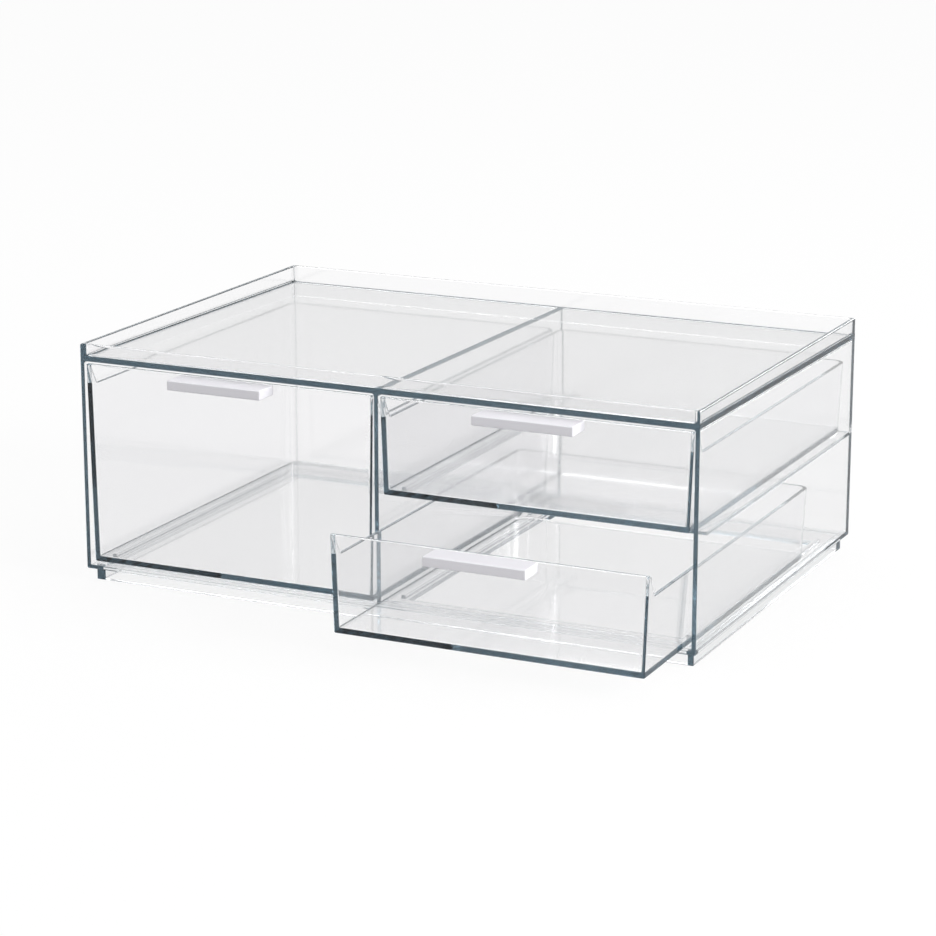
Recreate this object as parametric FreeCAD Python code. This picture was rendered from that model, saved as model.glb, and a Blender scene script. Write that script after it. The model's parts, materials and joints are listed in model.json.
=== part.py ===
import FreeCAD, Part
import math
import os

# Clear cosmetic organizer: a low wide case with one tall drawer on the left and two shallow drawers,
# one over the other, on the right. Millimetres, +X right, +Y to the back, +Z up.
# The origin is on the surface that the organizer stands on, under the middle of the case.

# Case walls
case_width = 330.0
case_depth = 222.5
case_height = 116.8             # underside of the walls to the top of the lip
side_wall = 2.2
back_wall = 2.2
divider_wall = 2.2
top_thickness = 2.2
lip_height = 6.7                # the walls stand this far above the front of the top panel
panel_fall = 2.1                # the top panel is this much lower at the case's back than at its front
tray_foot = 1.2                 # slant where the top panel meets the back wall
front_lip_wall = 2.2

# Frame under the bays, open in the middle of each bay
base_thickness = 2.2
side_rail_width = 10.5
front_rail_depth = 12.0
rear_rail_depth = 25.0

# Ledges of the upper bay
ledge_width = 10.5
ledge_thickness = 1.6
ledge_end_gap = 4.9             # from the ear of a closed lower drawer back to the ledge's front end

# Beads that the drawers slide on, along the rails and the ledges
bead_height = 1.8
bead_width = 2.4
bead_offset = 6.2               # from the wall to the near side of the bead

# Foot ring, which nests inside the lip of a unit underneath
foot_height = 6.6
foot_wall = 3.6
foot_end_inset = 4.7            # from the case's front and back to the ring
stacking_clearance = 0.6

# Drawers
drawer_depth = 214.5
drawer_wall = 2.0
drawer_front = 2.2
drawer_floor = 2.4
tall_draft = 1.8                # how far the sides and the back lean in, top to bottom
shallow_draft = 1.7
ear_drop = 11.0                 # the sides and the back are this much lower than the front
ear_run = 8.0                   # length of the slant from the front's top down to the sides
rear_corner_radius = 6.0
front_corner_radius = 0.8
bottom_chamfer = 0.8
rim_share = 0.4                 # rounding of the front's top edges, of the front's thickness
side_clearance = 0.6
runner_clearance = 0.3
top_clearance = 1.3             # from a drawer's front up to the front of the top panel
stack_gap = 6.0                 # from the lower drawer's front up to the upper drawer
front_recess = 0.5              # the closed fronts stand behind the case's front edge
lower_pull = 52.3               # the lower drawer is drawn out this far

# Handles
handle_width = 51.9
handle_depth = 13.3
handle_height = 4.9
handle_edge_radius = 0.7
handle_drop = 0.3               # from the front's top edge down to the handle's top

# One overrun for every cut
overrun = 1.0

# How far the middle of a quarter arc lies from its corner along each side, of the radius
ARC_MIDDLE_SHARE = 1 - math.sqrt(0.5)

# Places that follow from the sizes above
half_width = case_width / 2
inner_half = half_width - side_wall
case_front = -case_depth / 2
case_back = case_depth / 2
inner_back = case_back - back_wall
wall_bottom = foot_height
wall_top = wall_bottom + case_height
panel_front_top = wall_top - lip_height
panel_front_under = panel_front_top - top_thickness
base_top = wall_bottom + base_thickness
half_divider = divider_wall / 2
bead_top = base_top + bead_height

drawer_bottom = bead_top + runner_clearance
tall_height = panel_front_under - top_clearance - drawer_bottom
shallow_height = (tall_height - stack_gap) / 2
upper_bottom = drawer_bottom + shallow_height + stack_gap
ledge_top = upper_bottom - runner_clearance - bead_height
ledge_front = case_front + front_recess + ear_run + ledge_end_gap
closed_front = case_front + front_recess


def box(x_range, y_range, z_range):
    """A block between the two ends given along each axis."""
    corner = FreeCAD.Vector(x_range[0], y_range[0], z_range[0])
    lengths = [ends[1] - ends[0] for ends in (x_range, y_range, z_range)]
    return Part.makeBox(*lengths, corner)


def mirrored(x_range):
    """The same stretch on the other side of the middle plane."""
    return (-x_range[1], -x_range[0])


def bead(wall_face, towards, y_range, foot):
    """A bead along Y on a rail or ledge whose wall is at wall_face; towards is +1 or -1 along X."""
    near = wall_face + towards * bead_offset
    far = near + towards * bead_width
    return box(sorted((near, far)), y_range, (foot, foot + bead_height))


def rounded_section(x_range, y_range, height, front_radius, rear_radius):
    """A level rectangle with one radius at its two front corners and one at its two rear corners."""
    left, right = x_range
    front, rear = y_range
    corners = [
        (FreeCAD.Vector(left, front, height), front_radius),
        (FreeCAD.Vector(right, front, height), front_radius),
        (FreeCAD.Vector(right, rear, height), rear_radius),
        (FreeCAD.Vector(left, rear, height), rear_radius),
    ]
    arcs = []
    for i, (point, radius) in enumerate(corners):
        arriving = (point - corners[i - 1][0]).normalize()
        leaving = (corners[(i + 1) % len(corners)][0] - point).normalize()
        middle = point + (leaving - arriving) * (radius * ARC_MIDDLE_SHARE)
        arcs.append((point - arriving * radius, middle, point + leaving * radius))
    edges = []
    for i, (start, middle, end) in enumerate(arcs):
        edges.append(Part.Arc(start, middle, end).toShape())
        edges.append(Part.LineSegment(end, arcs[(i + 1) % len(arcs)][0]).toShape())
    return Part.Wire(edges)


def drawer_bin(bay, front, bottom, height, draft):
    """A one-piece drawer: leaning sides and back, an upright taller front and a slanted ear at each side."""
    rear = front + drawer_depth
    left = bay[0] + side_clearance
    right = bay[1] - side_clearance
    top = bottom + height

    def section(level, wall, front_wall, rear_radius):
        lean = draft * (top - level) / height + wall
        across = (left + lean, right - lean)
        along = (front + front_wall, rear - lean)
        return rounded_section(across, along, level, front_corner_radius, rear_radius)

    outer_sections = [
        section(bottom, bottom_chamfer, bottom_chamfer, rear_corner_radius),
        section(bottom + bottom_chamfer, 0, 0, rear_corner_radius),
        section(top, 0, 0, rear_corner_radius),
    ]
    inner_radius = rear_corner_radius - drawer_wall
    hollow_sections = [
        section(bottom + drawer_floor, drawer_wall, drawer_front, inner_radius),
        section(top + overrun, drawer_wall, drawer_front, inner_radius),
    ]
    outer = Part.makeLoft(outer_sections, True, True)
    hollow = Part.makeLoft(hollow_sections, True, True)
    return outer.cut(hollow).cut(space_above(left, right, front, rear, top))


def space_above(left, right, front, rear, top):
    """What is cut off over a drawer: it leaves the front's rounded top edge, the ears and the lower sides."""
    rim = drawer_front * rim_share
    bulge = rim * ARC_MIDDLE_SHARE
    inside = front + drawer_front
    side_top = top - ear_drop

    def point(y, z):
        return FreeCAD.Vector(left - overrun, y, z)

    outline = [
        Part.Arc(point(front, top - rim), point(front + bulge, top - bulge), point(front + rim, top)),
        Part.LineSegment(point(front + rim, top), point(inside - rim, top)),
        Part.Arc(point(inside - rim, top), point(inside - bulge, top - bulge), point(inside, top - rim)),
    ]
    corners = [
        point(inside, top - rim),
        point(front + ear_run, side_top),
        point(rear + overrun, side_top),
        point(rear + overrun, top + overrun),
        point(front - overrun, top + overrun),
        point(front - overrun, top - rim),
        point(front, top - rim),
    ]
    outline += [Part.LineSegment(*ends) for ends in zip(corners, corners[1:])]
    face = Part.Face(Part.Wire([curve.toShape() for curve in outline]))
    return face.extrude(FreeCAD.Vector(right - left + 2 * overrun, 0, 0))


def handle(bay, front, top):
    """A bar on the outside of a drawer's front, at the middle of its top, rounded but for its seat."""
    middle = (bay[0] + bay[1]) / 2
    across = (middle - handle_width / 2, middle + handle_width / 2)
    bar_top = top - handle_drop
    bar = box(across, (front - handle_depth, front), (bar_top - handle_height, bar_top))
    free_edges = [edge for edge in bar.Edges if edge.BoundBox.YMin < front - handle_edge_radius]
    return bar.makeFillet(handle_edge_radius, free_edges)


def fallen(level, y):
    """A level of the top panel, given at the case's front, where the panel's slope has taken it at y."""
    return level - panel_fall * (y - case_front) / case_depth


def slab_across(x_range, outline):
    """A slab along X with the outline given as corners in Y and Z."""
    corners = [FreeCAD.Vector(x_range[0], y, z) for y, z in outline + outline[:1]]
    return Part.Face(Part.makePolygon(corners)).extrude(FreeCAD.Vector(x_range[1] - x_range[0], 0, 0))


def case_walls():
    """The walls of the case: sides, back, front lip, the top panel sunk between them and the divider."""
    full_depth = (case_front, case_back)
    between_sides = (-inner_half, inner_half)
    right_wall = (inner_half, half_width)
    middle_wall = (-half_divider, half_divider)
    walls = (wall_bottom, wall_top)
    lip_back = case_front + front_lip_wall
    foot_front = inner_back - tray_foot

    def under(y):
        return (y, fallen(panel_front_under, y))

    def over(y):
        return (y, fallen(panel_front_top, y))

    foot_top = (inner_back, over(inner_back)[1] + tray_foot)
    top_outline = [under(lip_back), under(inner_back), foot_top, over(foot_front), over(lip_back)]
    lip_outline = [under(case_front), under(lip_back), (lip_back, wall_top), (case_front, wall_top)]
    divider_outline = [(case_front, base_top), (inner_back, base_top), under(inner_back), under(case_front)]
    return {
        "left_side_panel": box(mirrored(right_wall), full_depth, walls),
        "right_side_panel": box(right_wall, full_depth, walls),
        "back_panel": box(between_sides, (inner_back, case_back), walls),
        "top_panel": slab_across(between_sides, top_outline),
        "front_lip": slab_across(between_sides, lip_outline),
        "divider_panel": slab_across(middle_wall, divider_outline),
    }


def base_frame():
    """The frame under the bays: front and rear rails, and side and centre rails with their beads."""
    levels = (wall_bottom, base_top)
    front_end = case_front + front_rail_depth
    rear_end = inner_back - rear_rail_depth
    between_sides = (-inner_half, inner_half)
    between_rails = (front_end, rear_end)
    right_rail = (inner_half - side_rail_width, inner_half)
    centre_reach = half_divider + side_rail_width
    right = box(right_rail, between_rails, levels)
    left = box(mirrored(right_rail), between_rails, levels)
    centre = box((-centre_reach, centre_reach), between_rails, levels)
    right_bead = bead(inner_half, -1, between_rails, base_top)
    left_bead = bead(-inner_half, 1, between_rails, base_top)
    centre_beads = [bead(side * half_divider, side, between_rails, base_top) for side in (-1, 1)]
    return {
        "front_base_rail": box(between_sides, (case_front, front_end), levels),
        "rear_base_rail": box(between_sides, (rear_end, inner_back), levels),
        "left_base_rail": left.fuse(left_bead).removeSplitter(),
        "right_base_rail": right.fuse(right_bead).removeSplitter(),
        "centre_base_rail": centre.fuse(centre_beads).removeSplitter(),
    }


def upper_ledges():
    """The two ledges, each with its bead, that carry the upper drawer."""
    along = (ledge_front, inner_back)
    levels = (ledge_top - ledge_thickness, ledge_top)
    wall_ledge = box((inner_half - ledge_width, inner_half), along, levels)
    divider_ledge = box((half_divider, half_divider + ledge_width), along, levels)
    return {
        "wall_ledge": wall_ledge.fuse(bead(inner_half, -1, along, ledge_top)).removeSplitter(),
        "divider_ledge": divider_ledge.fuse(bead(half_divider, 1, along, ledge_top)).removeSplitter(),
    }


def foot_ring():
    """Four rails under the base frame, set in so that they drop inside the lip of a unit underneath."""
    outer_half = inner_half - stacking_clearance
    right_foot = (outer_half - foot_wall, outer_half)
    ring_front = case_front + foot_end_inset
    ring_back = case_back - foot_end_inset
    between_feet = (-right_foot[0], right_foot[0])
    levels = (0, foot_height)
    return {
        "left_foot_rail": box(mirrored(right_foot), (ring_front, ring_back), levels),
        "right_foot_rail": box(right_foot, (ring_front, ring_back), levels),
        "front_foot_rail": box(between_feet, (ring_front, ring_front + foot_wall), levels),
        "rear_foot_rail": box(between_feet, (ring_back - foot_wall, ring_back), levels),
    }


def drawers():
    """The three drawers, each a bin and its handle."""
    left_bay = (-inner_half, -half_divider)
    right_bay = (half_divider, inner_half)
    rows = {
        "left": (left_bay, closed_front, drawer_bottom, tall_height, tall_draft),
        "upper": (right_bay, closed_front, upper_bottom, shallow_height, shallow_draft),
        "lower": (right_bay, closed_front - lower_pull, drawer_bottom, shallow_height, shallow_draft),
    }
    pieces = {}
    for name, (bay, front, bottom, height, draft) in rows.items():
        pieces[name + "_drawer_bin"] = drawer_bin(bay, front, bottom, height, draft)
        pieces[name + "_handle"] = handle(bay, front, bottom + height)
    return pieces


os.makedirs("parts", exist_ok=True)
nodes = {**case_walls(), **base_frame(), **upper_ledges(), **foot_ring(), **drawers()}
for node, shape in nodes.items():
    shape.exportStep(f"parts/{node}.step")
    span = shape.BoundBox
    print(f"{node}: {len(shape.Solids)} solid, {shape.Volume:.1f} mm3, valid {shape.isValid()},",
          f"z {span.ZMin:.2f} to {span.ZMax:.2f}")
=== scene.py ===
"""Looks of a clear pull-out cosmetic organizer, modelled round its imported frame."""

import json
import logging
import math
from collections.abc import Callable
from dataclasses import dataclass, field
from enum import Enum
from typing import Any

import bmesh
import bpy
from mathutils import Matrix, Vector


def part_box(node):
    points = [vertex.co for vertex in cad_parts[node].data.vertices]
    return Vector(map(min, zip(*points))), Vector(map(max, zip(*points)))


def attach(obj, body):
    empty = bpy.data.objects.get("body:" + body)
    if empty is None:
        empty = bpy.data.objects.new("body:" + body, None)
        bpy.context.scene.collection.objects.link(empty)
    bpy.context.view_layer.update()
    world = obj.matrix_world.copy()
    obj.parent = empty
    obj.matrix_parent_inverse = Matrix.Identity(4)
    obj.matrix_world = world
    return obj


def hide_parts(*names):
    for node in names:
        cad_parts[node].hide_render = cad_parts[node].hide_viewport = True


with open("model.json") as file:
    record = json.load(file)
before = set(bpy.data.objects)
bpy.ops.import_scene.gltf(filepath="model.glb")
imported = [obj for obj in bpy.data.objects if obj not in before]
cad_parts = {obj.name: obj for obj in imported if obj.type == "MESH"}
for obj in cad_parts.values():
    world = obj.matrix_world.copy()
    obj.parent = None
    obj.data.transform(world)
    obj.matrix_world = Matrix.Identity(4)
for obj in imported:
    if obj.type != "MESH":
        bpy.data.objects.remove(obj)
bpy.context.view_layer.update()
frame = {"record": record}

MM = 0.001
OVERRUN = 1.0 * MM  # how far a cutting block stands out past what it cuts
ROOT = 0.6 * MM  # how far an added block reaches into what carries it
TOUCH = 0.05 * MM  # two places nearer than this are the same
DOUBLE = 0.01 * MM  # two points nearer than this are merged
FLAT = math.radians(5)  # an edge that bends less lies in a curve
STRIP = math.radians(0.05)  # faces that bend less are one flat face
SHARP = math.radians(40)  # an edge that bends more is softened
CREASE = math.radians(35)  # an edge that bends more is shaded as a crease
FACING = 0.9  # a face whose normal has this much of a direction faces it
WHITE = (1.0, 1.0, 1.0, 1.0)

log = logging.getLogger("organizer")

Colour = Place = tuple[float, float, float]
Span = tuple[float, float]


class Merge(Enum):
    """How one workpiece meets another."""

    ADD = "UNION"
    TAKE = "DIFFERENCE"


class Ray(Enum):
    """The kinds of ray that the studio tells apart."""

    CAMERA = "Is Camera Ray"
    GLOSSY = "Is Glossy Ray"
    TRANSMISSION = "Is Transmission Ray"


class Value:
    """A shader value that takes part in Python arithmetic; each operation adds a Math node."""

    def __init__(self, tree: "ShaderTree", socket: bpy.types.NodeSocket) -> None:
        """Wraps an output socket of the tree."""
        self.tree = tree
        self.socket = socket

    def _maths(self, operation: str, first: "Value | float", second: "Value | float") -> "Value":
        """Adds one Math node.

        Args:
            operation: The node's operation, such as ADD.
            first: The left-hand side.
            second: The right-hand side.

        Returns:
            The node's result.
        """
        node = self.tree.node("ShaderNodeMath", {"operation": operation}, {0: first, 1: second})
        return Value(self.tree, node.outputs[0])

    def __add__(self, other: "Value | float") -> "Value":
        """Sum."""
        return self._maths("ADD", self, other)

    def __sub__(self, other: "Value | float") -> "Value":
        """Difference."""
        return self._maths("SUBTRACT", self, other)

    def __rsub__(self, other: "Value | float") -> "Value":
        """Reflected difference, as in 1 - mask."""
        return self._maths("SUBTRACT", other, self)

    def __mul__(self, other: "Value | float") -> "Value":
        """Product."""
        return self._maths("MULTIPLY", self, other)

    def greater(self, other: "Value | float") -> "Value":
        """The larger of the two."""
        return self._maths("MAXIMUM", self, other)

    def ramp(self, low: float, high: float) -> "Value":
        """Zero up to low, one from high on, and a smooth rise between the two."""
        return self.tree.value("ShaderNodeMapRange", 0, {"interpolation_type": "SMOOTHSTEP"}, {
            0: self, 1: low, 2: high, 3: 0.0, 4: 1.0})

    def band(self, low: float, high: float, edge: float) -> "Value":
        """One from low to high, and zero further away than the edge."""
        return self.ramp(low - edge, low) * (1 - self.ramp(high, high + edge))

    __radd__ = __add__
    __rmul__ = __mul__


class ShaderTree:
    """The nodes of a material or of the world."""

    def __init__(self, owner: bpy.types.Material | bpy.types.World) -> None:
        """Empties the owner's node tree and keeps it at hand.

        Args:
            owner: The material or world.
        """
        owner.use_nodes = True
        self.tree = owner.node_tree
        self.tree.nodes.clear()

    def node(self, kind: str, settings: dict[str, Any] | None = None,
             inputs: dict[str | int, Any] | None = None) -> bpy.types.Node:
        """Adds a node.

        Args:
            kind: The node's type.
            settings: Attributes that are set before its sockets.
            inputs: A value, a Value or an output socket for each named input.

        Returns:
            The new node.
        """
        node = self.tree.nodes.new(kind)
        for name, setting in (settings or {}).items():
            setattr(node, name, setting)
        for name, given in (inputs or {}).items():
            given = given.socket if isinstance(given, Value) else given
            if isinstance(given, bpy.types.NodeSocket):
                self.tree.links.new(given, node.inputs[name])
            else:
                node.inputs[name].default_value = given
        return node

    def value(self, kind: str, output: str | int, settings: dict[str, Any] | None = None,
              inputs: dict[str | int, Any] | None = None) -> Value:
        """Adds a node and gives one of its outputs as a value.

        Args:
            kind: The node's type.
            output: The output that is wanted.
            settings: Attributes that are set before its sockets.
            inputs: A value or a link for each named input.

        Returns:
            That output, ready for arithmetic.
        """
        return Value(self, self.node(kind, settings, inputs).outputs[output])

    def ray(self, kind: Ray) -> Value:
        """One for a ray of this kind, and zero for the others."""
        return self.value("ShaderNodeLightPath", kind.value)

    def noise(self, grain: float, detail: float) -> Value:
        """Noise in the object's own space.

        Args:
            grain: The size of one grain in metres.
            detail: How many finer layers it has.

        Returns:
            The noise, from zero to one.
        """
        place = self.node("ShaderNodeTexCoord").outputs["Object"]
        return self.value("ShaderNodeTexNoise", 0, None, {
            "Vector": place, "Scale": 1 / grain, "Detail": detail})

    def bump(self, height: Value, strength: float, distance: float) -> bpy.types.NodeSocket:
        """A normal that follows a height.

        Args:
            height: The height, from zero to one.
            strength: How much of it shows.
            distance: The height in metres that one stands for.

        Returns:
            The normal's socket.
        """
        node = self.node("ShaderNodeBump", None, {
            "Height": height, "Strength": strength, "Distance": distance})
        return node.outputs[0]


class Workpiece:
    """A mesh on the bench: it starts as a block and is shaped with Blender's own operators."""

    def __init__(self, name: str, low: Vector, high: Vector) -> None:
        """Adds a block between two corners.

        Args:
            name: The piece's name.
            low: Its lowest corner.
            high: Its highest corner.
        """
        bpy.ops.object.select_all(action="DESELECT")
        bpy.ops.mesh.primitive_cube_add(size=1, location=(low + high) / 2)
        self.obj: bpy.types.Object = bpy.context.active_object
        self.obj.name = self.obj.data.name = name
        self.obj.scale = high - low
        bpy.ops.object.transform_apply(location=True, rotation=True, scale=True)

    def activate(self) -> None:
        """Makes this piece the only one selected."""
        bpy.ops.object.select_all(action="DESELECT")
        self.obj.select_set(True)
        bpy.context.view_layer.objects.active = self.obj

    def edit(self, mode: str) -> bmesh.types.BMesh:
        """Opens the piece in edit mode with nothing picked.

        Args:
            mode: VERT, EDGE or FACE.

        Returns:
            The mesh that is open.
        """
        self.activate()
        bpy.ops.object.mode_set(mode="EDIT")
        bpy.ops.mesh.select_mode(type=mode)
        bpy.ops.mesh.select_all(action="DESELECT")
        return bmesh.from_edit_mesh(self.obj.data)

    def leave(self) -> None:
        """Closes edit mode."""
        bpy.ops.object.mode_set(mode="OBJECT")

    def pick_faces(self, test: Callable[[Vector, Vector], bool]) -> None:
        """Opens the piece in edit mode with some faces picked.

        Args:
            test: Picks a face by its centre and normal.
        """
        mesh = self.edit("FACE")
        for face in mesh.faces:
            face.select_set(test(face.calc_center_median(), face.normal))
        bmesh.update_edit_mesh(self.obj.data)

    def pick_edges(self, test: Callable[[Vector, Vector], bool]) -> None:
        """Opens the piece in edit mode with some edges picked, of those that part two planes.

        Args:
            test: Picks an edge by its two ends.
        """
        mesh = self.edit("EDGE")
        for edge in mesh.edges:
            first, second = edge.verts
            edge.select_set(edge.calc_face_angle(0.0) > FLAT and test(first.co, second.co))
        bmesh.update_edit_mesh(self.obj.data)

    def sink_face(self, test: Callable[[Vector, Vector], bool], rim: float, depth: Vector) -> None:
        """Insets the picked face by a rim and pushes what is left inwards.

        Args:
            test: Picks the face by its centre and normal.
            rim: The width that stays round it.
            depth: How far, and which way, the inner face goes.
        """
        self.pick_faces(test)
        bpy.ops.mesh.inset(thickness=rim, use_even_offset=True)
        bpy.ops.mesh.extrude_region_move(TRANSFORM_OT_translate={"value": depth})
        self.leave()

    def shift_edges(self, test: Callable[[Vector, Vector], bool], by: Vector) -> None:
        """Moves some edges.

        Args:
            test: Picks an edge by its two ends.
            by: How far, and which way, they go.
        """
        self.pick_edges(test)
        bpy.ops.transform.translate(value=by)
        self.leave()

    def round_edges(self, test: Callable[[Vector, Vector], bool], radius: float,
                    segments: int) -> None:
        """Rounds some edges.

        Args:
            test: Picks an edge by its two ends.
            radius: The radius they get.
            segments: The number of strips in the rounding.
        """
        self.pick_edges(test)
        bpy.ops.mesh.bevel(offset=radius, segments=segments, affect="EDGES", clamp_overlap=False)
        self.leave()

    def merge(self, other: "Workpiece", how: Merge) -> None:
        """Adds another piece to this one or takes it away, and clears it from the bench.

        Args:
            other: The other piece.
            how: Whether it is added or taken away.
        """
        self.activate()
        bpy.ops.object.modifier_add(type="BOOLEAN")
        modifier = self.obj.modifiers[-1]
        modifier.operation = how.value
        modifier.solver = "EXACT"
        modifier.object = other.obj
        bpy.ops.object.modifier_apply(modifier=modifier.name)
        bpy.data.objects.remove(other.obj)

    def clean(self) -> None:
        """Merges doubled points and the flat faces that the cuts left in strips."""
        self.edit("VERT")
        bpy.ops.mesh.select_all(action="SELECT")
        bpy.ops.mesh.remove_doubles(threshold=DOUBLE)
        bpy.ops.mesh.dissolve_limited(angle_limit=STRIP)
        bpy.ops.mesh.normals_make_consistent(inside=False)
        self.leave()

    def soften(self, radius: float, segments: int) -> None:
        """Rounds every sharp edge that is left, inside corners too.

        Args:
            radius: The radius they get.
            segments: The number of strips in the rounding.
        """
        self.activate()
        bpy.ops.object.modifier_add(type="BEVEL")
        modifier = self.obj.modifiers[-1]
        modifier.width = radius
        modifier.segments = segments
        modifier.limit_method = "ANGLE"
        modifier.angle_limit = SHARP
        modifier.use_clamp_overlap = False
        bpy.ops.object.modifier_apply(modifier=modifier.name)

    def smooth(self) -> None:
        """Shades curves smooth and keeps the large faces flat."""
        self.activate()
        bpy.ops.object.shade_smooth_by_angle(angle=CREASE)
        bpy.ops.object.modifier_add(type="WEIGHTED_NORMAL")
        modifier = self.obj.modifiers[-1]
        modifier.keep_sharp = True
        bpy.ops.object.modifier_apply(modifier=modifier.name)


@dataclass(frozen=True)
class ClearPlastic:
    """Polished clear plastic that turns blue-green where one looks along it."""

    name: str
    refraction: float = 1.5
    absorption: Colour = (11.0, 9.0, 8.0)
    clarity: Colour = (0.999, 0.993, 0.994)
    gloss: float = 0.01
    scuffed: float = 0.05
    scuff: float = 1.4 * MM
    scuff_layers: float = 3.0
    ripple: float = 22.0 * MM
    ripple_layers: float = 1.0
    ripple_height: float = 0.02 * MM
    ripple_share: float = 0.2
    headroom: float = 1.25

    def make(self) -> bpy.types.Material:
        """Makes the finish.

        Returns:
            The finish as a material.
        """
        material = bpy.data.materials.new(self.name)
        shader = ShaderTree(material)
        ripple = shader.noise(self.ripple, self.ripple_layers)
        surface = shader.node("ShaderNodeBsdfPrincipled", None, {
            "Base Color": (*self.clarity, 1.0),
            "Roughness": self.gloss + self.scuffed * shader.noise(self.scuff, self.scuff_layers),
            "IOR": self.refraction,
            "Transmission Weight": 1.0,
            "Normal": shader.bump(ripple, self.ripple_share, self.ripple_height),
        })
        density = max(self.absorption) * self.headroom
        depth = shader.node("ShaderNodeVolumeAbsorption", None, {
            "Color": (*[1 - share / density for share in self.absorption], 1.0),
            "Density": density,
        })
        shader.node("ShaderNodeOutputMaterial", None, {
            "Surface": surface.outputs[0], "Volume": depth.outputs[0]})
        return material


@dataclass(frozen=True)
class SatinPlastic:
    """Opaque white plastic with a fine satin grain."""

    name: str
    colour: Colour = (0.84, 0.83, 0.87)
    shade: Colour = (0.81, 0.80, 0.845)
    mottle: float = 9.0 * MM
    grain: float = 0.35 * MM
    layers: float = 2.0
    grain_height: float = 0.02 * MM
    grain_share: float = 0.25
    smoothest: float = 0.38
    roughening: float = 0.16

    def make(self) -> bpy.types.Material:
        """Makes the finish.

        Returns:
            The finish as a material.
        """
        material = bpy.data.materials.new(self.name)
        shader = ShaderTree(material)
        grain = shader.noise(self.grain, self.layers)
        mottle = shader.noise(self.mottle, self.layers)
        tint = shader.node("ShaderNodeMix", {"data_type": "RGBA"}, {
            0: mottle, 6: (*self.shade, 1.0), 7: (*self.colour, 1.0)})
        surface = shader.node("ShaderNodeBsdfPrincipled", None, {
            "Base Color": tint.outputs[2],
            "Roughness": self.smoothest + self.roughening * grain,
            "Normal": shader.bump(grain, self.grain_share, self.grain_height),
        })
        shader.node("ShaderNodeOutputMaterial", None, {"Surface": surface.outputs[0]})
        return material


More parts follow.
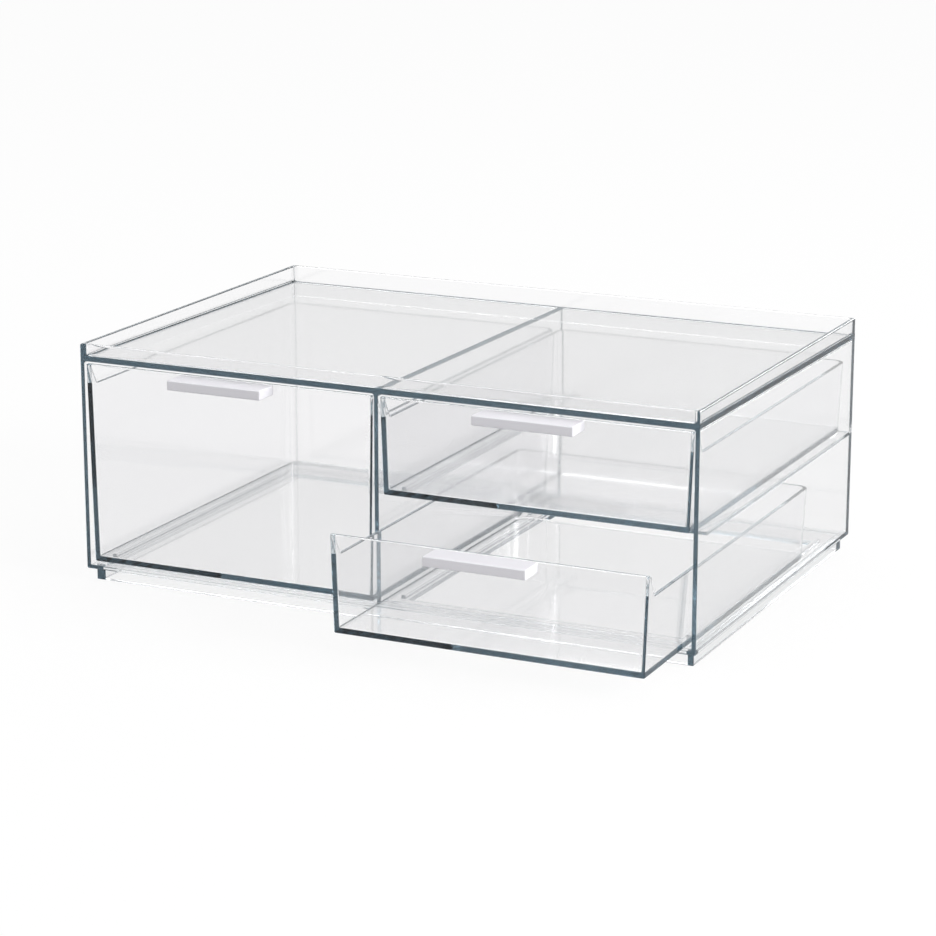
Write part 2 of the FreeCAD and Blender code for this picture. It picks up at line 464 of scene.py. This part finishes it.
@dataclass
class Case:
    """The clear case: walls, sunk top, divider, open base, ledges and foot ring in one moulding."""

    finish: bpy.types.Material
    body: str = "case"
    bead_offset: float = 6.2 * MM
    bead_width: float = 2.4 * MM
    tray_radius: float = 1.8 * MM
    bay_radius: float = 1.3 * MM
    lip_radius: float = 1.0 * MM
    bottom_radius: float = 0.9 * MM
    edge_radius: float = 0.25 * MM
    tray_strips: int = 6
    bay_strips: int = 5
    rim_strips: int = 4
    edge_strips: int = 2
    low: Vector = field(init=False)
    high: Vector = field(init=False)
    panel: float = field(init=False)
    slope: float = field(init=False)
    bead_height: float = field(init=False)

    def __post_init__(self) -> None:
        """Takes the walls' corners, the top panel's slope and the beads' height from the frame."""
        self.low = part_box("left_side_panel")[0]
        self.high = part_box("right_side_panel")[1]
        panel_low, panel_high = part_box("top_panel")
        front_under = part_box("front_lip")[0].z
        self.panel = panel_high.z - front_under
        self.slope = (front_under - panel_low.z) / (panel_high.y - panel_low.y)
        self.bead_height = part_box("centre_base_rail")[1].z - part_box("front_base_rail")[1].z

    def under_panel(self, y: float) -> float:
        """The height of the top panel's underside at y."""
        low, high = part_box("top_panel")
        return low.z + self.slope * (high.y - y)

    def lower_rim(self, a: Vector, b: Vector) -> bool:
        """Tells whether an edge runs along the lower end of an outer wall.

        Args:
            a: One end of the edge.
            b: Its other end.

        Returns:
            Whether it does.
        """
        right = min(a.x, b.x) > self.high.x - TOUCH
        left = max(a.x, b.x) < self.low.x + TOUCH
        back = min(a.y, b.y) > self.high.y - TOUCH
        front = max(a.y, b.y) < self.low.y + TOUCH
        return max(a.z, b.z) < self.low.z + TOUCH and (right or left or back or front)

    def build(self) -> bpy.types.Object:
        """Models the case.

        Returns:
            The finished piece.
        """
        case = Workpiece("clear_case", self.low, self.high)
        self.sink_tray(case)
        self.cut_bays(case)
        self.open_base(case)
        self.add_ledges(case)
        self.add_beads(case)
        self.add_feet(case)
        case.clean()
        case.round_edges(lambda a, b: min(a.z, b.z) > self.high.z - TOUCH, self.lip_radius,
                         self.rim_strips)
        case.round_edges(self.lower_rim, self.bottom_radius, self.rim_strips)
        case.soften(self.edge_radius, self.edge_strips)
        case.smooth()
        self.dress(case.obj)
        return case.obj

    def sink_tray(self, case: Workpiece) -> None:
        """Sinks the top between the lips, lower at the back, and rounds its foot but for the back.

        Args:
            case: The case on the bench.
        """
        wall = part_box("left_side_panel")[1].x - self.low.x
        front, back = (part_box("top_panel")[end].y for end in (0, 1))
        floor = self.under_panel(front) + self.panel
        middle = (self.low.z + self.high.z) / 2

        def back_of_floor(a: Vector, b: Vector) -> bool:
            """Whether an edge ends the level floor at the back."""
            level = abs(a.z - floor) < TOUCH and abs(b.z - floor) < TOUCH
            return level and min(a.y, b.y) > back - TOUCH

        def foot_or_corner(a: Vector, b: Vector) -> bool:
            """Tells whether an edge is rounded: the floor's, but for its back, or an inner corner.

            Args:
                a: One end of the edge.
                b: Its other end.

            Returns:
                Whether it is.
            """
            sunk = middle < min(a.z, b.z) < self.high.z - TOUCH
            at_back = min(a.y, b.y) > back - TOUCH and max(a.z, b.z) < self.high.z - TOUCH
            return sunk and not at_back

        case.sink_face(lambda centre, normal: normal.z > FACING, wall,
                       Vector((0, 0, floor - self.high.z)))
        case.shift_edges(back_of_floor, Vector((0, 0, self.slope * (front - back))))
        case.round_edges(foot_or_corner, self.tray_radius, self.tray_strips)

    def cut_bays(self, case: Workpiece) -> None:
        """Hollows the bay on each side of the divider, open to the front.

        Args:
            case: The case on the bench.
        """
        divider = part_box("divider_panel")
        front = self.low.y - OVERRUN
        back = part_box("back_panel")[0].y
        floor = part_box("front_base_rail")[1].z
        ceiling = self.under_panel(back)
        rise = Vector((0, 0, self.under_panel(front) - ceiling))

        def upper_front(a: Vector, b: Vector) -> bool:
            """Whether an edge is the bay's upper front one."""
            return max(a.y, b.y) < front + TOUCH and min(a.z, b.z) > ceiling - TOUCH

        def inner_edge(a: Vector, b: Vector) -> bool:
            """Whether an edge lies inside the case and above the floor."""
            return max(a.y, b.y) > front + TOUCH and max(a.z, b.z) > floor + TOUCH

        bays = {
            "left_bay": (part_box("left_side_panel")[1].x, divider[0].x),
            "right_bay": (divider[1].x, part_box("right_side_panel")[0].x),
        }
        for name, (left, right) in bays.items():
            bay = Workpiece(name, Vector((left, front, floor)), Vector((right, back, ceiling)))
            bay.shift_edges(upper_front, rise)
            bay.round_edges(inner_edge, self.bay_radius, self.bay_strips)
            case.merge(bay, Merge.TAKE)

    def open_base(self, case: Workpiece) -> None:
        """Cuts the middle of each bay's floor away, between the rails.

        Args:
            case: The case on the bench.
        """
        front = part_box("front_base_rail")[1].y
        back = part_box("rear_base_rail")[0].y
        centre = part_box("centre_base_rail")
        gaps = {
            "left_gap": (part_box("left_base_rail")[1].x, centre[0].x),
            "right_gap": (centre[1].x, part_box("right_base_rail")[0].x),
        }
        bottom = self.low.z - OVERRUN
        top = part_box("front_base_rail")[1].z + OVERRUN
        for name, (left, right) in gaps.items():
            gap = Workpiece(name, Vector((left, front, bottom)), Vector((right, back, top)))
            case.merge(gap, Merge.TAKE)

    def add_ledges(self, case: Workpiece) -> None:
        """Adds the two ledges that carry the upper drawer.

        Args:
            case: The case on the bench.
        """
        for node, wall_side in (("wall_ledge", 1), ("divider_ledge", -1)):
            low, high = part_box(node)
            high = Vector((high.x, high.y + ROOT, high.z - self.bead_height))
            if wall_side > 0:
                high.x += ROOT
            else:
                low.x -= ROOT
            case.merge(Workpiece(node + "_shelf", low, high), Merge.ADD)

    def add_beads(self, case: Workpiece) -> None:
        """Adds the beads that the drawers slide on, on the rails and on the ledges.

        Args:
            case: The case on the bench.
        """
        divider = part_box("divider_panel")
        left_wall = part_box("left_side_panel")[1].x
        right_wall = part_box("right_side_panel")[0].x
        runs = [
            ("left_base_rail", left_wall, 1),
            ("centre_base_rail", divider[0].x, -1),
            ("centre_base_rail", divider[1].x, 1),
            ("right_base_rail", right_wall, -1),
            ("divider_ledge", divider[1].x, 1),
            ("wall_ledge", right_wall, -1),
        ]
        for number, (node, wall, way) in enumerate(runs):
            low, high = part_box(node)
            near = wall + way * self.bead_offset
            far = near + way * self.bead_width
            start = Vector((min(near, far), low.y, high.z - self.bead_height - ROOT))
            end = Vector((max(near, far), high.y + ROOT, high.z))
            case.merge(Workpiece(f"bead_{number}", start, end), Merge.ADD)

    def add_feet(self, case: Workpiece) -> None:
        """Adds the foot ring under the base.

        Args:
            case: The case on the bench.
        """
        left, right, front, rear = (
            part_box(f"{side}_foot_rail") for side in ("left", "right", "front", "rear"))
        low, high = left[0], right[1]
        ring = Workpiece("foot_ring", low, Vector((high.x, high.y, high.z + ROOT)))
        inner_low = Vector((left[1].x, front[1].y, low.z - OVERRUN))
        inner_high = Vector((right[0].x, rear[0].y, high.z + 2 * OVERRUN))
        ring.merge(Workpiece("foot_hollow", inner_low, inner_high), Merge.TAKE)
        case.merge(ring, Merge.ADD)

    def dress(self, obj: bpy.types.Object) -> None:
        """Gives the case its finish and its place in the assembly.

        Args:
            obj: The finished piece.
        """
        obj.data.materials.append(self.finish)
        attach(obj, self.body)
        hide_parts(*frame["record"]["behaviour"]["bodies"][self.body])


@dataclass
class Drawer:
    """One drawer: a clear bin with a white bar handle on its front."""

    place: str
    clear: bpy.types.Material
    white: bpy.types.Material
    draft: float
    wall: float = 2.0 * MM
    front_wall: float = 2.2 * MM
    floor: float = 2.4 * MM
    ear_drop: float = 11.0 * MM
    ear_run: float = 8.0 * MM
    rear_radius: float = 6.0 * MM
    front_radius: float = 0.8 * MM
    bottom_radius: float = 0.6 * MM
    rim_radius: float = 0.7 * MM
    edge_radius: float = 0.3 * MM
    seat_gap: float = 0.04 * MM
    handle_radius: float = 0.7 * MM
    rear_strips: int = 10
    corner_strips: int = 3
    rim_strips: int = 4
    edge_strips: int = 2

    @property
    def body(self) -> str:
        """The body that the drawer moves with."""
        return f"{self.place}_drawer"

    def build(self) -> list[bpy.types.Object]:
        """Models the drawer.

        Returns:
            Its bin and its handle.
        """
        return [self.build_bin(), self.build_handle()]

    def build_bin(self) -> bpy.types.Object:
        """Models the bin: a leaning block, hollowed from above, with lower sides and a rounded rim.

        Returns:
            The finished piece.
        """
        node = f"{self.place}_drawer_bin"
        low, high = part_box(node)
        slope = self.draft / (high.z - low.z)
        piece = self.leaning_block(f"{self.place}_bin", low, high, slope, self.rear_radius)
        piece.merge(self.hollow(low, high, slope), Merge.TAKE)
        piece.merge(self.space_above(low, high), Merge.TAKE)
        piece.clean()
        piece.round_edges(lambda a, b: min(a.z, b.z) > high.z - TOUCH, self.rim_radius,
                          self.rim_strips)
        piece.soften(self.edge_radius, self.edge_strips)
        piece.smooth()
        piece.obj.data.materials.append(self.clear)
        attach(piece.obj, self.body)
        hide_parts(node)
        return piece.obj

    def leaning_block(self, name: str, low: Vector, high: Vector, slope: float,
                      rear_radius: float) -> Workpiece:
        """A block whose sides and back lean in towards its foot, rounded but for its top.

        Args:
            name: The piece's name.
            low: Its lowest corner, were it upright.
            high: Its highest corner.
            slope: How far the sides lean in for each unit of height.
            rear_radius: The radius of its two rear corners.

        Returns:
            The block.
        """
        piece = Workpiece(name, low, high)
        size = high - low
        lean = slope * size.z
        middle = (low.x + high.x) / 2
        piece.pick_faces(lambda centre, normal: normal.z < -FACING)
        shares = ((size.x - 2 * lean) / size.x, (size.y - lean) / size.y, 1)
        bpy.ops.transform.resize(value=shares, center_override=(middle, low.y, low.z))
        piece.leave()

        def upright(a: Vector, b: Vector) -> bool:
            """Whether an edge runs from the top to the foot."""
            return abs(a.z - b.z) > size.z / 2

        halfway = (low.y + high.y) / 2
        piece.round_edges(lambda a, b: upright(a, b) and a.y > halfway, rear_radius,
                          self.rear_strips)
        piece.round_edges(lambda a, b: upright(a, b) and a.y < halfway, self.front_radius,
                          self.corner_strips)
        piece.round_edges(lambda a, b: max(a.z, b.z) < low.z + TOUCH, self.bottom_radius,
                          self.corner_strips)
        return piece

    def hollow(self, low: Vector, high: Vector, slope: float) -> Workpiece:
        """The space inside the bin's walls, running out past its top.

        Args:
            low: The bin's lowest corner.
            high: The bin's highest corner.
            slope: How far its sides lean in for each unit of height.

        Returns:
            The space as a block.
        """
        spread = slope * OVERRUN
        inner_low = low + Vector((self.wall - spread, self.front_wall, self.floor))
        inner_high = high + Vector((spread - self.wall, spread - self.wall, OVERRUN))
        inner_radius = self.rear_radius - self.wall
        return self.leaning_block("hollow", inner_low, inner_high, slope, inner_radius)

    def space_above(self, low: Vector, high: Vector) -> Workpiece:
        """What is cut off over the sides and the back, with a slant that leaves two ears.

        Args:
            low: The bin's lowest corner.
            high: The bin's highest corner.

        Returns:
            The space as a block.
        """
        inside = low.y + self.front_wall
        side_top = high.z - self.ear_drop
        start = Vector((low.x - OVERRUN, inside, side_top))
        end = Vector((high.x + OVERRUN, high.y + OVERRUN, high.z))
        space = Workpiece("space_above", start, end)

        def foot_of_slant(a: Vector, b: Vector) -> bool:
            """Whether an edge is the space's lower front one."""
            return max(a.y, b.y) < inside + TOUCH and max(a.z, b.z) < side_top + TOUCH

        space.shift_edges(foot_of_slant, Vector((0, self.ear_run - self.front_wall, 0)))
        space.pick_faces(lambda centre, normal: normal.z > FACING)
        past_top = Vector((0, 0, OVERRUN))
        bpy.ops.mesh.extrude_region_move(TRANSFORM_OT_translate={"value": past_top})
        space.leave()
        return space

    def build_handle(self) -> bpy.types.Object:
        """Models the bar handle, rounded all over but for its seat.

        Returns:
            The finished piece.
        """
        node = f"{self.place}_handle"
        low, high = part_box(node)
        seat = high.y - self.seat_gap
        piece = Workpiece(f"{self.place}_bar", low, Vector((high.x, seat, high.z)))
        piece.round_edges(lambda a, b: min(a.y, b.y) < seat - OVERRUN, self.handle_radius,
                          self.rim_strips)
        piece.smooth()
        piece.obj.data.materials.append(self.white)
        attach(piece.obj, self.body)
        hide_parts(node)
        return piece.obj


@dataclass(frozen=True)
class Softbox:
    """A square lamp that faces the object: its place, its side and its power in watts."""

    name: str
    place: Place
    side: float
    power: float

    def hang(self, target: Vector) -> None:
        """Hangs the lamp, unseen in the clear walls.

        Args:
            target: The point that it faces.
        """
        bpy.ops.object.select_all(action="DESELECT")
        bpy.ops.object.light_add(type="AREA", location=self.place)
        lamp = bpy.context.active_object
        lamp.name = lamp.data.name = self.name
        lamp.rotation_euler = (target - Vector(self.place)).to_track_quat("-Z", "Y").to_euler()
        lamp.data.shape = "SQUARE"
        lamp.data.size = self.side
        lamp.data.energy = self.power
        lamp.visible_glossy = lamp.visible_transmission = False


@dataclass
class Studio:
    """A pale floor, plain soft light and the camera at the photograph's place."""

    azimuth: float = math.radians(25.283)
    elevation: float = math.radians(15.008)
    distance: float = 1.5645
    target: Vector = field(default_factory=lambda: Vector((-4.03 * MM, 0.15 * MM, 50.6 * MM)))
    lens: float = 117.1
    sensor: float = 36.0
    floor_side: float = 24.0
    floor_drop: float = 0.1 * MM
    floor_grey: float = 0.6
    floor_white: float = 1.05
    plain_light: float = 0.6
    floor_glow: float = 0.88
    mirrored_floor: float = 0.25
    room: float = 0.78
    window: float = 6.0
    window_right: Span = (-0.54, -0.32)
    window_up: Span = (0.76, 0.8)
    window_edge: float = 0.04
    strip: float = 8.0
    strip_back: Span = (0.905, 0.932)
    strip_right: Span = (0.0, 0.3)
    strip_up: Span = (0.14, 0.18)
    strip_edge: float = 0.006
    bounces: int = 96
    softboxes: tuple[Softbox, ...] = (
        Softbox("overhead_softbox", (0.1, 0.4, 1.8), 1.6, 7.0),
        Softbox("right_softbox", (2.2, -0.2, 0.9), 1.2, 56.0),
    )

    def build(self) -> None:
        """Sets the stage, the light and the camera."""
        self.lay_floor()
        self.light_world()
        for softbox in self.softboxes:
            softbox.hang(self.target)
        self.place_camera()
        self.set_render()

    def lay_floor(self) -> None:
        """Lays a white floor that keeps a faint shadow."""
        bpy.ops.object.select_all(action="DESELECT")
        bpy.ops.mesh.primitive_plane_add(size=self.floor_side, location=(0, 0, -self.floor_drop))
        floor = bpy.context.active_object
        floor.name = "floor"
        material = bpy.data.materials.new("white_floor")
        shader = ShaderTree(material)
        plain = shader.node("ShaderNodeBsdfDiffuse", None, {
            "Color": (self.floor_grey, self.floor_grey, self.floor_grey, 1.0)})
        glow = shader.node("ShaderNodeEmission", None, {
            "Color": WHITE, "Strength": self.floor_white})
        direct = shader.ray(Ray.CAMERA).greater(shader.ray(Ray.TRANSMISSION))
        seen = direct.greater(shader.ray(Ray.GLOSSY) * self.mirrored_floor) * self.floor_glow
        mixed = shader.node("ShaderNodeMixShader", None, {
            0: seen, 1: plain.outputs[0], 2: glow.outputs[0]})
        shader.node("ShaderNodeOutputMaterial", None, {"Surface": mixed.outputs[0]})
        floor.data.materials.append(material)

    def light_world(self) -> None:
        """Lights the room evenly, with two bright patches for the lips to mirror.

        The window is high at the left, for the front lip. The strip is a low arc at the back right,
        for the right lip. Only camera, mirrored and refracted rays see either of them.
        """
        world = bpy.data.worlds.new("studio")
        bpy.context.scene.world = world
        shader = ShaderTree(world)
        plain = shader.node("ShaderNodeBackground", None, {
            "Color": WHITE, "Strength": self.plain_light})
        way = shader.node("ShaderNodeSeparateXYZ", None, {
            0: shader.node("ShaderNodeTexCoord").outputs["Generated"]})
        right, back, up = (Value(shader, way.outputs[axis]) for axis in range(3))
        window = right.band(*self.window_right, self.window_edge) * up.ramp(*self.window_up)
        arc = back.band(*self.strip_back, self.strip_edge) * right.ramp(*self.strip_right)
        strip = arc * up.ramp(*self.strip_up)
        lights = self.window * window + self.strip * strip
        room = shader.node("ShaderNodeBackground", None, {
            "Color": WHITE, "Strength": self.room + lights})
        mirrored = shader.ray(Ray.CAMERA).greater(shader.ray(Ray.GLOSSY))
        seen = mirrored.greater(shader.ray(Ray.TRANSMISSION))
        mixed = shader.node("ShaderNodeMixShader", None, {
            0: seen, 1: plain.outputs[0], 2: room.outputs[0]})
        shader.node("ShaderNodeOutputWorld", None, {"Surface": mixed.outputs[0]})

    def place_camera(self) -> None:
        """Places the camera where the photograph was taken from."""
        away = Vector((
            math.sin(self.azimuth) * math.cos(self.elevation),
            -math.cos(self.azimuth) * math.cos(self.elevation),
            math.sin(self.elevation),
        ))
        bpy.ops.object.camera_add(location=self.target + away * self.distance)
        camera = bpy.context.active_object
        camera.rotation_euler = (-away).to_track_quat("-Z", "Y").to_euler()
        camera.data.lens = self.lens
        camera.data.sensor_width = self.sensor
        bpy.context.scene.camera = camera

    def set_render(self) -> None:
        """Lets light through many clear walls, and keeps colours as they are written."""
        scene = bpy.context.scene
        scene.view_settings.view_transform = "Standard"
        scene.cycles.max_bounces = self.bounces
        scene.cycles.transmission_bounces = self.bounces
        scene.cycles.glossy_bounces = self.bounces


def main() -> None:
    """Builds the organizer and its studio, and notes the size of the result."""
    logging.basicConfig(level=logging.INFO, format="%(name)s: %(message)s")
    clear = ClearPlastic("clear_plastic").make()
    white = SatinPlastic("white_satin_plastic").make()
    pieces = [Case(clear).build()]
    drafts = {"left": 1.8 * MM, "upper": 1.7 * MM, "lower": 1.7 * MM}
    for place, draft in drafts.items():
        pieces += Drawer(place, clear, white, draft).build()
    for piece in pieces:
        log.info("%s: %d faces", piece.name, len(piece.data.polygons))
    Studio().build()


if __name__ == "__main__":
    main()
